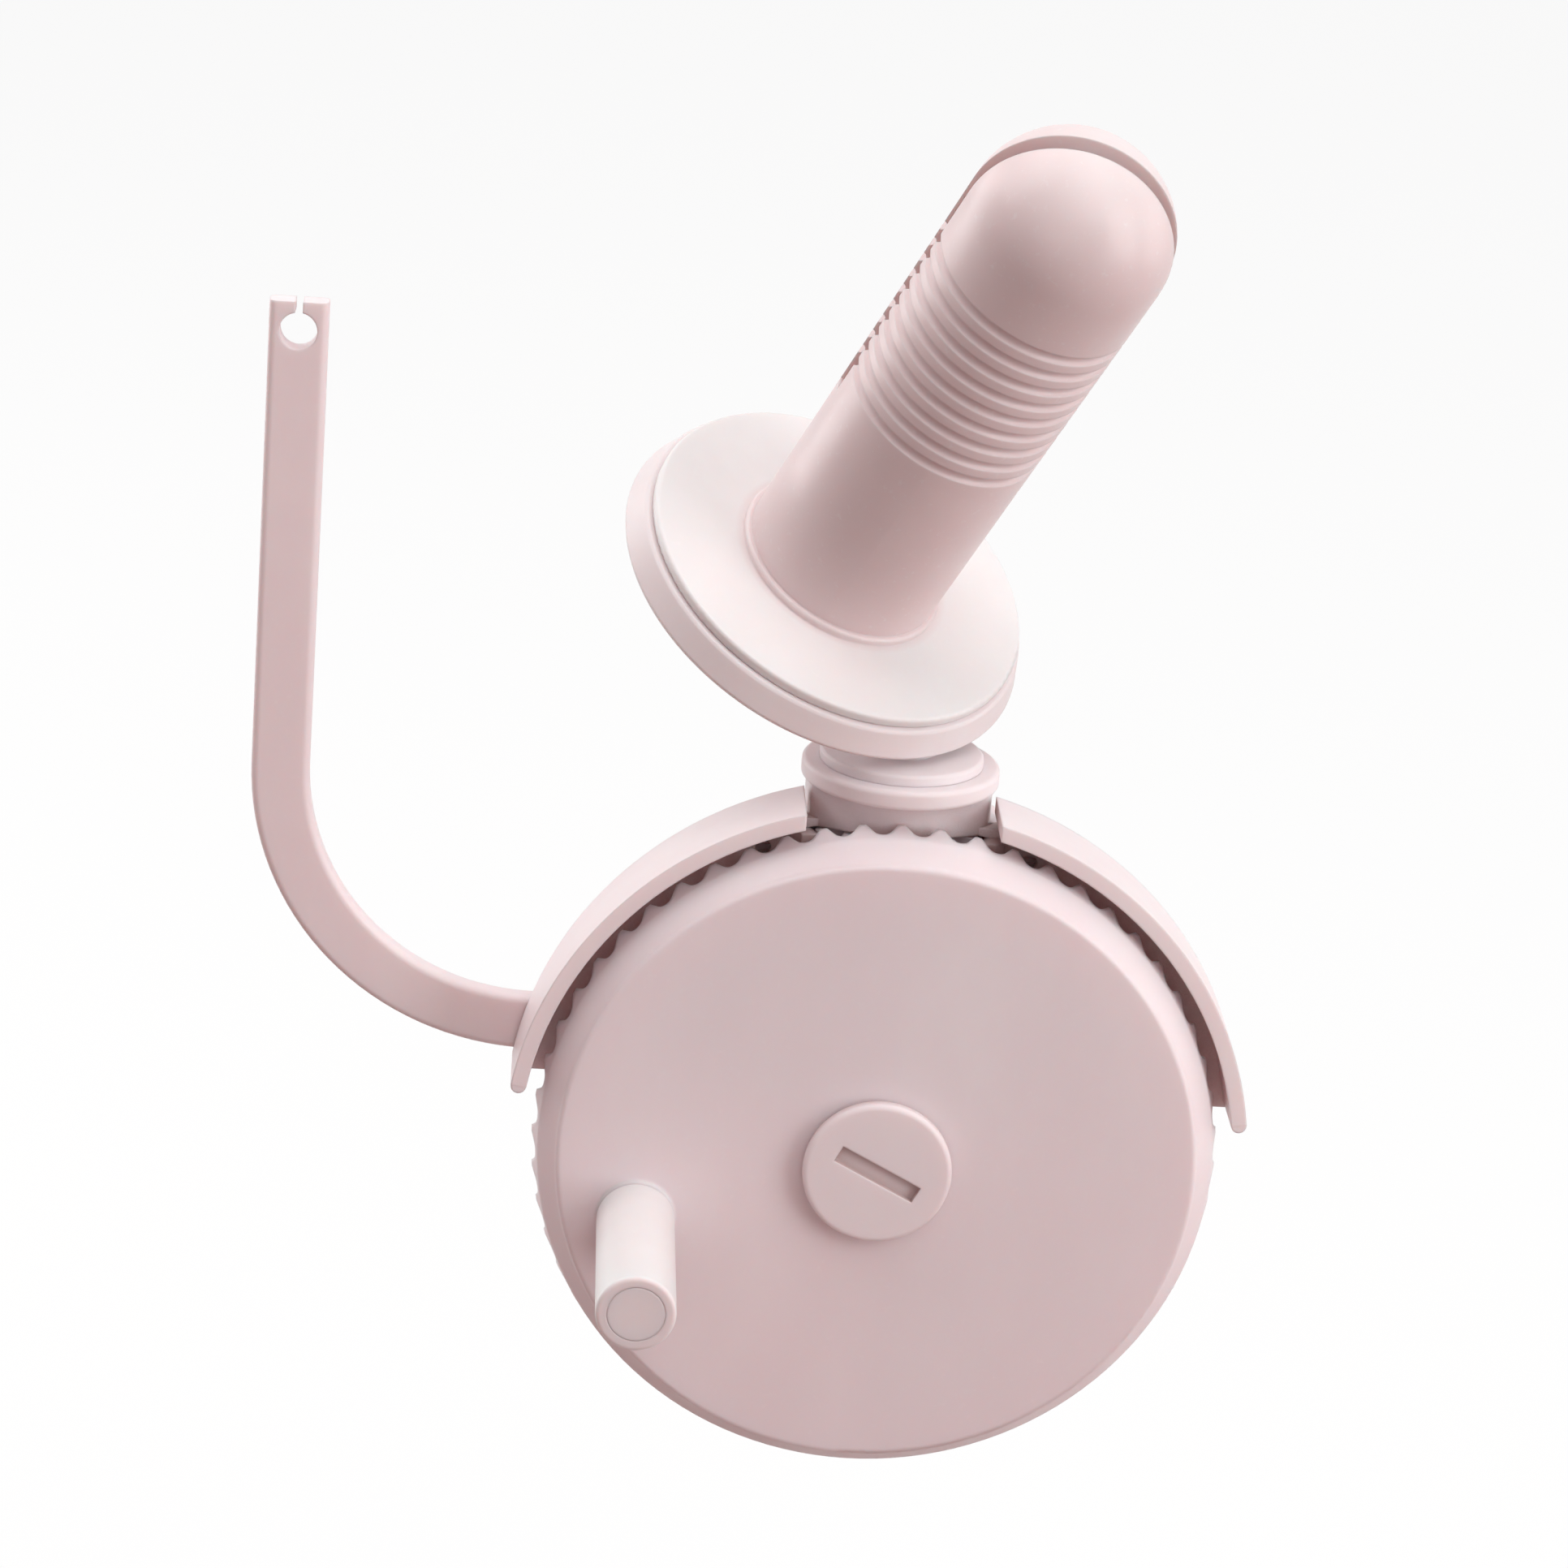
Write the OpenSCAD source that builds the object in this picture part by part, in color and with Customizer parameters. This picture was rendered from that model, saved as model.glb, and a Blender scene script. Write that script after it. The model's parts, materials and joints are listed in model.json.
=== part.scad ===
// Yarn ball winder, hand cranked, with table clamp. Millimetres, Z up, viewer at minus Y.

/* [Hand wheel] */
// Teeth on the hand wheel
gear_teeth = 56; // [48:1:64]
// Teeth on the bevel pinion
pinion_teeth = 14; // [12:1:18]
// Tooth module of wheel and pinion
gear_module = 2; // [1.8:0.05:2.2]
// Length of the bevel teeth along the cone
tooth_length = 9; // [6:0.5:10]
// Pressure angle of all teeth
pressure_angle = 30; // [20:1:30]
// Play on each tooth flank of wheel and pinion
gear_play = 0.14; // [0.08:0.01:0.3]
// Height of the rim over the tooth roots
rim_cover = 1.2; // [0.6:0.1:1.6]
// Thickness of the scalloped rim at the tooth ends
rim_wall = 0.8; // [0.6:0.1:1.2]
// Setback of the pinion behind the tooth ends
pinion_inset = 3; // [1.6:0.1:4]
// Depth of the pitch circle behind the wheel face
pitch_depth = 6.9; // [6:0.1:8]
// Pitch circle radius minus the radius of the flat face
face_inset = 3.5; // [3:0.5:6]
// Thickness of the wheel plate
wheel_plate = 3; // [2:0.25:4]
// Radius of the wheel hub
hub_r = 9; // [8:0.5:12]
// Number of ribs behind the wheel
rib_count = 6; // [4:1:10]
// Radius of the wheel axle
axle_r = 5; // [4:0.25:6]

/* [Crank handle] */
// Distance of the handle from the wheel centre
crank_r = 40.3; // [34:0.1:44]
// Direction of the handle at rest
crank_angle = 196; // [0:1:359]
// Length of the handle in front of the wheel
handle_length = 36.8; // [30:0.2:45]
// Radius of the handle
handle_r = 6.4; // [5.8:0.1:8]
// Radius of the pin inside the handle
stud_r = 3.4; // [2.5:0.1:3.8]

/* [Centre cap] */
// Radius of the coin slot cap
cap_r = 12.2; // [10:0.1:14]
// Height of the coin slot cap
cap_height = 2.6; // [2:0.1:4]
// Length of the coin slot
slot_length = 14.8; // [10:0.2:16]
// Width of the coin slot
slot_width = 2.9; // [1.5:0.1:3]
// Depth of the coin slot
slot_depth = 1.2; // [0.6:0.1:1.6]
// Slope of the coin slot
slot_slope = 27; // [0:1:90]

/* [Guard arch and tower] */
// Gap between the tooth tips and the arch
arch_gap = 2.1; // [1.5:0.1:4]
// Wall of the arch
arch_wall = 2.6; // [2:0.1:4]
// Depth of the arch front edge behind the wheel face
arch_front = 3.4; // [2:0.1:6]
// Angle of the arch tips above the wheel centre
arch_tip = 9; // [5:1:30]
// Depth of the back plate front behind the wheel face
plate_front = 14.6; // [13.5:0.1:16]
// Thickness of the back plate
plate_wall = 3; // [2.5:0.1:4]
// Radius of the tower neck
neck_r = 15.3; // [14.8:0.1:15.6]
// Radius of the flange ring
ring_r = 16.2; // [15.8:0.1:18]
// Height of the flange ring
ring_height = 3.2; // [2.5:0.1:4]
// Height of the neck between the pinion and the ring
neck_height = 6.15; // [4:0.05:8]
// Radius of the collar on the ring
collar_r = 13.4; // [12.4:0.1:14]
// Height of the collar
collar_height = 1.8; // [1.5:0.1:2.2]

/* [Tilted head] */
// Lean of the spindle
lean = 33.9; // [30:0.1:38]
// Direction of the lean at rest, from the right hand side
lean_turn = -48.9; // [-180:0.1:180]
// Gap between the collar and the low side of the dish
dish_gap = 1.05; // [0.6:0.05:4]
// Teeth on the fixed sun gear
sun_teeth = 10; // [9:1:12]
// Teeth inside the dish
dish_teeth = 52; // [48:1:56]
// Tooth module of sun and dish
dish_module = 1.25; // [1.15:0.01:1.35]
// Play on each tooth flank of sun and dish
dish_play = 0.16; // [0.08:0.01:0.3]
// Length of the dish teeth as a share of the cone
dish_share = 0.055; // [0.03:0.005:0.06]
// Wall of the skirt round the dish teeth
skirt_wall = 2.2; // [1.6:0.1:3.5]
// Lip of the skirt below the dish teeth
skirt_lip = 0.8; // [0.3:0.1:1]
// Wall between the dish teeth and the top plate
tooth_roof = 0.7; // [0.4:0.1:1.5]
// Thickness of the top plate
dish_plate = 2; // [1.6:0.1:2.6]
// Step from the skirt in to the top plate
plate_step = 2.6; // [1.2:0.1:3.5]
// Radius of the vertical stem
stem_r = 3.2; // [2.8:0.1:3.3]
// Radius of the tilted pin
pin_r = 3; // [2.5:0.1:3.5]

/* [Spindle] */
// Radius of the post
post_r = 16.8; // [15:0.1:18]
// Straight length of the post up to the dome
post_length = 77.4; // [60:0.2:90]
// Wall of the post
post_wall = 2.4; // [2:0.1:3]
// Number of grooves
groove_count = 9; // [0:1:14]
// Spacing of the grooves
groove_pitch = 3.5; // [2.5:0.1:4]
// Height of the lowest groove above the dish
groove_start = 38.8; // [36:0.2:44]
// Radius of the groove section
groove_r = 0.9; // [0.5:0.1:1.2]
// Width of the slit through the dome
slit_width = 3.5; // [2:0.1:5]
// Height of the slit floor above the dish
slit_floor = 32; // [28:1:50]
// Turn of the slit about the post
slit_turn = -48; // [-90:1:90]

/* [Guide arm] */
// Width of the arm
arm_width = 9.4; // [7:0.1:12]
// Thickness of the arm
arm_thick = 4; // [3:0.1:5]
// Edge rounding of the arm
arm_round = 1.2; // [0.6:0.1:1.4]
// Reach of the upright to the left of the wheel centre
arm_reach = 100.6; // [95:0.2:110]
// Bend radius of the arm
arm_bend = 42.6; // [30:0.2:45]
// Height of the pivot above the wheel centre
pivot_height = 14.4; // [13:0.1:20]
// Distance of the pivot to the left of the wheel centre
pivot_reach = 40; // [34:0.5:44]
// Height of the arm top above the wheel centre
arm_top = 134; // [120:0.5:150]
// Radius of the yarn eye
eye_r = 3; // [2:0.1:3.4]
// Distance of the eye below the arm top
eye_drop = 4.7; // [4.5:0.1:8]
// Width of the thread slit
thread_slit = 1.2; // [0.8:0.1:2]
// Radius of the pivot screw shoulder
pivot_r = 3; // [2.5:0.1:3.2]

/* [Table clamp] */
// Width of the bracket
bracket_width = 34; // [30:1:40]
// Thickness of the bracket spine
spine = 7.4; // [6:0.2:10]
// Length of the upper jaw
jaw_length = 53; // [45:1:60]
// Thickness of the upper jaw
jaw_thick = 9; // [8:0.5:12]
// Height of the wheel centre above the table
table_drop = 4; // [2:0.5:6]
// Thickness of the rubber pad
pad_thick = 1.5; // [1:0.1:2.5]
// Opening from rubber pad to lower jaw
jaw_open = 37; // [34:0.5:38]
// Thickness of the lower jaw
lower_jaw = 9; // [8:0.5:10]
// Radius of the clamp screw
screw_r = 5; // [4:0.25:6]
// Table thickness at rest
table_gap = 18; // [16:0.5:20]
// Radius of the clamp knob
knob_r = 12; // [10:0.5:14]
// Height of the clamp knob
knob_height = 15; // [12:0.5:16]
// Radius of the pressure pad
press_r = 10; // [8:0.5:12]

/* [Fits] */
// Radial running clearance of shafts in bores
run = 0.05; // [0.02:0.01:0.1]
// Free gap between pieces that move past each other
free = 0.35; // [0.3:0.05:0.5]

/* [Hidden] */
$fn = 64;
pink = [0.92, 0.83, 0.82];
steel = [0.72, 0.73, 0.75];
brass = [0.80, 0.68, 0.40];
rubber = [0.45, 0.42, 0.42];
eps = 0.01;

gear_pr = gear_module * gear_teeth / 2;
pinion_pr = gear_module * pinion_teeth / 2;
gear_cone = atan(gear_pr / pinion_pr);
pinion_cone = 90 - gear_cone;
cone_len = sqrt(gear_pr * gear_pr + pinion_pr * pinion_pr);
gear_toe = 1 - tooth_length / cone_len;
add = 0.9 * gear_module;
ded = 1.2 * gear_module;
tower_y = pitch_depth + pinion_pr;
face_r = gear_pr - face_inset;
rim_r = gear_pr - ded * cos(gear_cone);
rim_y = tower_y - pinion_pr - ded * sin(gear_cone);
crown_out = 1 + 0.06 / cone_len;
crown_in = crown_out - rim_wall / cone_len;
tip_r = gear_pr + add * cos(gear_cone);
tip_y = pitch_depth + add * sin(gear_cone);
scallop_tan = tan(pressure_angle) / sin(gear_cone);
scallop_half = PI * gear_module / 4 + gear_play - 0.1;
valley_y = rim_y + rim_cover * sin(gear_cone);
scallop_slope = sqrt(1 + scallop_tan * scallop_tan) - scallop_tan;
valley_r = (scallop_half + (valley_y - pitch_depth) * scallop_tan) / scallop_slope;
root_toe_r = rim_r * gear_toe;
root_toe_y = tower_y - (tower_y - rim_y) * gear_toe;
boss_y = plate_front - 0.6;
hub_end = boss_y - free;
plate_back = plate_front + plate_wall;

arch_in = tip_r + arch_gap;
arch_out = arch_in + arch_wall;
pinion_heel = 1 - pinion_inset / cone_len;
pinion_root = pinion_pr - ded * cos(pinion_cone);
pinion_back = gear_pr + ded * sin(pinion_cone);
pinion_top = pinion_back * pinion_heel;
neck_z = pinion_top + free;
neck_flat = tower_y - (tower_y - tip_y) * neck_z / tip_r + free;
neck_bow = 1.27 * neck_r;
box_front = tower_y - (tower_y - tip_y) * gear_toe + 2 * free;
ring_z = neck_z + neck_height;
collar_z = ring_z + ring_height;
sun_seat = collar_z + collar_height;
pinion_low = (gear_pr - add * sin(pinion_cone)) * gear_toe - 0.5;
bush_top = pinion_low - free;
floor_top = bush_top - 2;
floor_low = floor_top - 3.5;
pilot_r = stem_r - 0.6;
pilot_low = floor_low - free;
washer_r = pilot_r + 2;
box_in = pinion_pr + add * cos(pinion_cone) + 0.8;
box_out = box_in + 2;
box_shelf = neck_z + 1;
box_slope = 0.5;
spigot_r = collar_r - 0.1;
bush_r = stem_r + 3.3;
lip_r = bush_r + 1.2;
lip_height = 0.5;
ear_x = box_out + 3.2;
notch = neck_r + 0.4;

sun_cone = atan(sun_teeth * sin(lean) / (dish_teeth - sun_teeth * cos(lean)));
dish_cone = sun_cone + lean;
sun_pr = dish_module * sun_teeth / 2;
dish_pr = dish_module * dish_teeth / 2;
dish_len = dish_pr / sin(dish_cone);
dish_toe = 1 - dish_share;
dish_add = 0.9 * dish_module;
dish_ded = 1.2 * dish_module;
sun_root = sun_pr - dish_ded * cos(sun_cone);
sun_bore = stem_r + 0.3;
dish_root_r = dish_pr + dish_ded * cos(dish_cone);
dish_root_z = -(dish_len * cos(dish_cone) - dish_ded * sin(dish_cone));
plate_low = dish_root_z * dish_toe + tooth_roof;
dish_top = plate_low + dish_plate;
skirt_low = -(dish_len * cos(dish_cone) + dish_add * sin(dish_cone)) - skirt_lip;
skirt_r = dish_root_r + skirt_wall;
dish_face_r = skirt_r - plate_step;
cross_height = sun_seat + dish_gap + skirt_r * sin(lean) - skirt_low * cos(lean);
sun_heel_z = cross_height - dish_len * cos(sun_cone) - dish_ded * sin(sun_cone);
sun_top_z = cross_height - (dish_len * cos(sun_cone) - dish_add * sin(sun_cone)) * dish_toe;
groove_fit = min(groove_count, floor((post_length - groove_start) / groove_pitch));
hollow_r = post_r - post_wall;
plug_low = plate_low - 1.5;
arm_face = plug_low - free;
arm_low = arm_face - 5.7;
arm_end = (dish_pr - dish_add * cos(dish_cone)) * dish_toe - 1.6;
pin_low = arm_low - 1.5;
sleeve_top = plate_low + 13.5;
pin_top = sleeve_top + 2.4;

arm_y = plate_back + free;
upright_base = pivot_height + arm_bend;
bend_x = -(arm_reach - arm_bend);
eye_z = arm_top - eye_drop;
washer_y = arm_y + arm_thick + free;

spine_back = plate_back + spine;
jaw_face = -table_drop;
jaw_low = jaw_face + pad_thick;
low_top = jaw_face - jaw_open;
low_bottom = low_top - lower_jaw;
jaw_mid = spine_back + jaw_length / 2;
press_top = jaw_face - table_gap;
press_low = press_top - 4;
neck_top = press_low + 2.4;
knob_top = low_bottom - 6;
knob_low = knob_top - knob_height;
nut_r = screw_r + 4;
nut_low = low_top - 6;
rise = 0.4;

gear_y = -jaw_mid;
gear_z = -jaw_face;

// wheel centre frame
module wheel() {
  translate([0, gear_y, gear_z]) children();
}

// tower axis, in the wheel frame
module tower() {
  wheel() translate([0, tower_y, 0]) children();
}

// tilted spindle frame, origin where the axes cross
module head() {
  tower() translate([0, 0, cross_height]) rotate([0, 0, lean_turn]) rotate([0, lean, 0]) children();
}

// turns the local z axis to y, pointing away from the viewer
module back() {
  rotate([-90, 0, 0]) children();
}

// cylinder along y
module ybar(r, y0, y1) {
  translate([0, y0, 0]) back() cylinder(r = r, h = y1 - y0);
}

// cylinder along z
module zbar(r, z0, z1) {
  translate([0, 0, z0]) cylinder(r = r, h = z1 - z0);
}

// box from corner to corner
module block(a, b) {
  translate(a) cube(b - a);
}

// rounded disc, both edges rounded by e
module disc(r, z0, z1, e) {
  rotate_extrude() {
    translate([0, z0]) square([r - e, z1 - z0]);
    translate([0, z0 + e]) square([r, z1 - z0 - 2 * e]);
    translate([r - e, z0 + e]) circle(r = e);
    translate([r - e, z1 - e]) circle(r = e);
  }
}

// rounded bar section
module section(w, t, e) {
  square([w - 2 * e, t], center = true);
  square([w, t - 2 * e], center = true);
  for (x = [-1, 1]) for (y = [-1, 1]) translate([x * (w / 2 - e), y * (t / 2 - e)]) circle(r = e);
}

// straight flank tooth section, half width and height pairs
function rack(m, play, up, down, sink) = let(w = PI * m / 4 - play, t = tan(pressure_angle))
  [[-(w + (down + sink) * t), -down - sink], [w + (down + sink) * t, -down - sink],
   [w - up * t, up], [-(w - up * t), up]];

function inv(a) = tan(a) * 180 / PI - a;

// half angle of an involute tooth at radius q of a wheel of pitch radius p
function flank(q, p, m, play) = let(b = p * cos(pressure_angle))
  (PI * m / 4 - play) / p * 180 / PI + inv(pressure_angle) - inv(acos(min(1, b / max(q, b))));

// curved flank tooth section for a wheel of pitch radius p
function curved(p, m, play, up, down, sink) = let(
  b = p * cos(pressure_angle), q = [p - down - sink, max(b, p - down), p, p + up / 2, p + up],
  f = [for (i = q) flank(i, p, m, play)])
  concat([for (i = [0:4]) [q[i] * sin(f[i]), q[i] * cos(f[i]) - p]],
   [for (i = [4:-1:0]) [-q[i] * sin(f[i]), q[i] * cos(f[i]) - p]]);

// one bevel tooth, apex at the origin, axis up, tooth on the x axis, heel and toe as shares of the cone
module tooth(len, cone, heel, toe, sec) {
  n = len(sec);
  end = [for (s = sec) [len * sin(cone) + s[1] * cos(cone), s[0], len * cos(cone) - s[1] * sin(cone)]];
  polyhedron(points = concat(heel * end, toe * end), faces = concat(
    [[for (i = [0:n - 1]) i]], [[for (i = [n - 1:-1:0]) n + i]],
    [for (i = [0:n - 1]) [i, n + i, n + (i + 1) % n, (i + 1) % n]]));
}

// the wheel, its teeth and everything that turns with the crank

// point of the rim section, at a height along the teeth and a share of the cone
function rim_point(h, share) = [(gear_pr + h * cos(gear_cone)) * share,
  tower_y - (tower_y - pitch_depth - h * sin(gear_cone)) * share];

// gap between two scallops, round at the bottom and open at the back
function scallop_gap(steps) = let (lean_in = atan(scallop_tan), top = tip_y + 2,
  wide = scallop_half + (top - pitch_depth) * scallop_tan, sweep = 180 - 2 * lean_in)
  concat([[wide, top]],
    [for (k = [0:steps]) [valley_r * cos(-lean_in - k * sweep / steps),
      valley_y + valley_r + valley_r * sin(-lean_in - k * sweep / steps)]],
    [[-wide, top]]);

module drive_gear() {
  color(pink) wheel() difference() {
    union() {
      difference() {
        back() rotate_extrude() {
          polygon([[0, 0], [face_r - 0.8, 0], [face_r, 0.8], rim_point(-ded, crown_out),
            rim_point(add, crown_out), rim_point(add, crown_in), rim_point(-ded, crown_in),
            [root_toe_r, root_toe_y], [root_toe_r - 2.5, root_toe_y], [root_toe_r - 2.5, wheel_plate],
            [hub_r, wheel_plate], [hub_r, hub_end], [0, hub_end]]);
          translate([face_r - 0.8, 0.8]) circle(r = 0.8);
        }
        for (i = [0:gear_teeth - 1]) rotate([0, (i + 0.5) * 360 / gear_teeth, 0])
          translate([0, 0, rim_r * crown_in - 1.5]) linear_extrude(height = 6) polygon(scallop_gap(6));
      }
      translate([0, tower_y, 0]) rotate([90, 0, 0]) for (i = [0:gear_teeth - 1])
        rotate([0, 0, 90 + i * 360 / gear_teeth])
          tooth(cone_len, gear_cone, (crown_in + crown_out) / 2, gear_toe,
            rack(gear_module, gear_play, add, ded, rise));
      for (i = [0:rib_count - 1]) rotate([0, (i + 0.5) * 360 / rib_count, 0])
        block([hub_r - 1, wheel_plate - 0.5, -1], [root_toe_r - 1.5, root_toe_y - 0.6, 1]);
      crank_place() ybar(stud_r + 3.2, wheel_plate - 0.5, wheel_plate + 5);
      crank_place() ybar(handle_r, -boss_height, 0.5);
    }
    ybar(axle_r + run, -1, hub_end + 1);
    crank_place() ybar(stud_r, -boss_height - 1, wheel_plate + 6);
  }
}

module crank_place() {
  translate([crank_r * cos(crank_angle), 0, crank_r * sin(crank_angle)]) children();
}

module crank_stud() {
  color(steel) wheel() crank_place() difference() {
    ybar(stud_r, stud_end, wheel_plate + 5);
    ybar(1.2, stud_end - 1, stud_end + 12);
  }
}

stud_end = -handle_length + 5.3;
shoulder_y = stud_end + free;
boss_height = 0.6;
grip_start = -boss_height - free;
recess_r = stud_r + 1.2;

module handle_screw() {
  color(steel) wheel() crank_place() difference() {
    union() {
      ybar(recess_r - 0.4, stud_end - 1.6, stud_end);
      ybar(1.2, stud_end - eps, stud_end + 11);
    }
    translate([0, stud_end - 1.2, 0]) block([-2.4, -1, -0.35], [2.4, 0.4, 0.35]);
  }
}

module crank_handle() {
  color(pink) wheel() crank_place() difference() {
    union() {
      translate([0, -handle_length, 0]) back() disc(handle_r, 0, handle_length + grip_start, 0.7);
    }
    ybar(stud_r + run, -handle_length - 1, 0);
    ybar(recess_r, -handle_length - 1, shoulder_y);
  }
}

module handle_plug() {
  color(pink) wheel() crank_place() ybar(recess_r, -handle_length, stud_end - 2.2);
}

// the fixed frame

module pivot_place() {
  translate([-pivot_reach, 0, pivot_height]) children();
}

module box_bolts() {
  for (x = [-1, 1]) for (z = [floor_top - 0.6, floor_top + 5]) translate([x * ear_x, 0, z]) children();
}

module bracket_bolts() {
  for (x = [-1, 1]) for (z = [-14, -32]) translate([x * (bracket_width / 2 - 5.5), 0, z]) children();
}

// room for the pinion inside its box
module pinion_room() {
  rotate_extrude() polygon([[0, floor_top], [box_in, floor_top],
    [box_in, neck_z - (box_in - pinion_root) * tan(pinion_cone)], [pinion_root, neck_z], [0, neck_z]]);
}

// pinion box and neck as a full round, split later at the tower axis
module tower_shell() {
  difference() {
    union() {
      rotate_extrude() polygon([[0, floor_low], [box_out, floor_low],
        [box_out, box_shelf - (box_out - neck_r) * box_slope], [neck_r, box_shelf], [neck_r, ring_z],
        [spigot_r, ring_z], [spigot_r, collar_z], [0, collar_z]]);
      for (x = [-1, 1]) translate([x * ear_x, 0, 0])
        block([-4, plate_back - tower_y, floor_low], [4, 3, floor_top + 8]);
    }
    pinion_room();
    zbar(bush_r, neck_z - 1, collar_z + 1);
    zbar(lip_r, neck_z - 1, neck_z + lip_height);
    zbar(pilot_r + 2.4, floor_low - 1, floor_top + 1);
    difference() {
      block([-60, -60, neck_z - 1], [60, 0, ring_z]);
      translate([0, neck_flat - tower_y + neck_bow, 0]) zbar(neck_bow, neck_z - 2, ring_z + 1);
    }
    for (a = [50, 130]) rotate([0, 0, a]) translate([sun_bolt, 0, 0])
      zbar(1.2, ring_z - 1.6, collar_z + 1);
  }
}

sun_bolt = (bush_r + spigot_r) / 2;

module body_housing() {
  color(pink) wheel() difference() {
    union() {
      difference() {
        back() rotate([0, 0, -180 + arch_tip]) rotate_extrude(angle = 180 - 2 * arch_tip)
          translate([arch_in, arch_front]) square([arch_wall, plate_back - arch_front]);
        block([-notch, 0, 0], [notch, plate_back + 1, arch_out + 5]);
      }
      for (a = [arch_tip, 180 - arch_tip]) rotate([0, -a, 0]) translate([arch_in + arch_wall / 2, 0, 0])
        ybar(arch_wall / 2 - 0.05, arch_front + 0.05, plate_back - 0.05);
      intersection() {
        ybar(arch_in + arch_wall / 2, plate_front, plate_back - 0.1);
        block([-80, 0, pivot_height - 6.5], [80, 40, neck_z + 0.6]);
      }
      block([-bracket_width / 2, plate_front, low_bottom + 6],
        [bracket_width / 2, plate_back, pivot_height]);
      ybar(hub_r + 1, boss_y, plate_back);
      pivot_place() ybar(6, plate_front - 2, plate_back);
      difference() {
        translate([0, tower_y, 0]) intersection() {
          tower_shell();
          block([-60, -60, 0], [60, 0, 90]);
        }
        block([-60, -10, 0], [60, box_front, neck_z]);
        difference() {
          block([-60, -10, neck_z - 1], [60, box_front, box_shelf + eps]);
          translate([0, tower_y, 0]) zbar(neck_r, 0, 90);
        }
      }
    }
    translate([0, tower_y, 0]) {
      pinion_room();
      zbar(bush_r, neck_z - eps, collar_z + 1);
      zbar(lip_r, neck_z - eps, neck_z + lip_height);
      zbar(washer_r + free, pilot_low - 4, floor_low + eps);
    }
    ybar(axle_r, 0, plate_back + 1);
    pivot_place() ybar(2, 0, plate_back + 1);
    translate([0, tower_y, 0]) zbar(pilot_r + 2.4, floor_low - 1, floor_top + 1);
    box_bolts() ybar(1.3, plate_front - 1, tower_y + 1);
    bracket_bolts() ybar(1.6, plate_front - 1, plate_back + 1);
  }
}

module rear_cover() {
  color(pink) wheel() difference() {
    translate([0, tower_y, 0]) intersection() {
      tower_shell();
      block([-60, 0, 0], [60, 60, 90]);
    }
    box_bolts() ybar(1.3, tower_y - 1, tower_y + 10);
  }
}

module cover_screws() {
  color(steel) wheel() box_bolts() difference() {
    union() {
      ybar(1.3, plate_front + 1, tower_y + 3 + eps);
      translate([0, tower_y + 3, 0]) back() disc(2.4, 0, 1.7, 0.4);
    }
    translate([0, tower_y + 4.2, 0]) block([-3, 0, -0.35], [3, 2, 0.35]);
  }
}

module tower_ring() {
  color(pink) tower() difference() {
    disc(ring_r, ring_z, collar_z, 0.8);
    zbar(spigot_r, ring_z - 1, collar_z + 1);
  }
}

module sun_gear() {
  color(pink) tower() difference() {
    union() {
      rotate_extrude() polygon([[0, collar_z], [collar_r, collar_z], [collar_r, sun_seat - 0.4],
        [collar_r - 0.4, sun_seat], [sun_root + 0.8, sun_seat], [sun_root + 0.8, sun_heel_z],
        [sun_root, sun_heel_z], [sun_root * dish_toe, sun_top_z], [0, sun_top_z]]);
      translate([0, 0, cross_height]) rotate([180, 0, 0]) for (i = [0:sun_teeth - 1])
        rotate([0, 0, -lean_turn + i * 360 / sun_teeth]) tooth(dish_len, sun_cone, 1, dish_toe,
          curved(sun_pr / cos(sun_cone), dish_module, dish_play, dish_add, dish_ded, 0.3));
    }
    zbar(sun_bore, collar_z - 1, sun_top_z + 5);
    for (a = [50, 130]) rotate([0, 0, a]) translate([sun_bolt, 0, 0]) {
      zbar(1.2, collar_z - 1, sun_seat + 1);
      translate([0, 0, sun_seat - 1.2]) cylinder(r1 = 1.2, r2 = 2.4, h = 1.2);
    }
  }
}

module sun_screws() {
  color(steel) tower() for (a = [50, 130]) rotate([0, 0, a]) translate([sun_bolt, 0, 0]) difference() {
    union() {
      zbar(1.2, ring_z - 1.4, sun_seat - 1.2 + eps);
      translate([0, 0, sun_seat - 1.2]) cylinder(r1 = 1.2, r2 = 2.4, h = 1.2);
    }
    block([-3, -0.3, sun_seat - 0.6], [3, 0.3, sun_seat + 1]);
  }
}

module upper_bush() {
  color(brass) tower() difference() {
    union() {
      zbar(bush_r, neck_z, collar_z);
      zbar(lip_r, neck_z, neck_z + lip_height);
    }
    zbar(stem_r + run, neck_z - 1, collar_z + 1);
  }
}

module lower_bush() {
  color(brass) tower() difference() {
    union() {
      zbar(pilot_r + 2.4, floor_low, floor_top + eps);
      zbar(pilot_r + 4, floor_top, bush_top);
    }
    zbar(pilot_r + run, floor_low - 1, bush_top + 1);
  }
}

module gear_axle() {
  color(steel) wheel() difference() {
    union() {
      ybar(axle_r, -free, plate_back + eps);
      ybar(axle_r + 3, plate_back, plate_back + 1.8);
    }
    ybar(2.4, -1, 10.6);
  }
}

module centre_cap() {
  color(pink) wheel() difference() {
    union() {
      translate([0, -free - cap_height, 0]) back() disc(cap_r, 0, cap_height, 0.9);
      ybar(2.4, -free - eps, 10);
    }
    rotate([0, slot_slope, 0]) block([-slot_length / 2, -free - cap_height - 1, -slot_width / 2],
      [slot_length / 2, -free - cap_height + slot_depth, slot_width / 2]);
  }
}

// the table clamp

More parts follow.
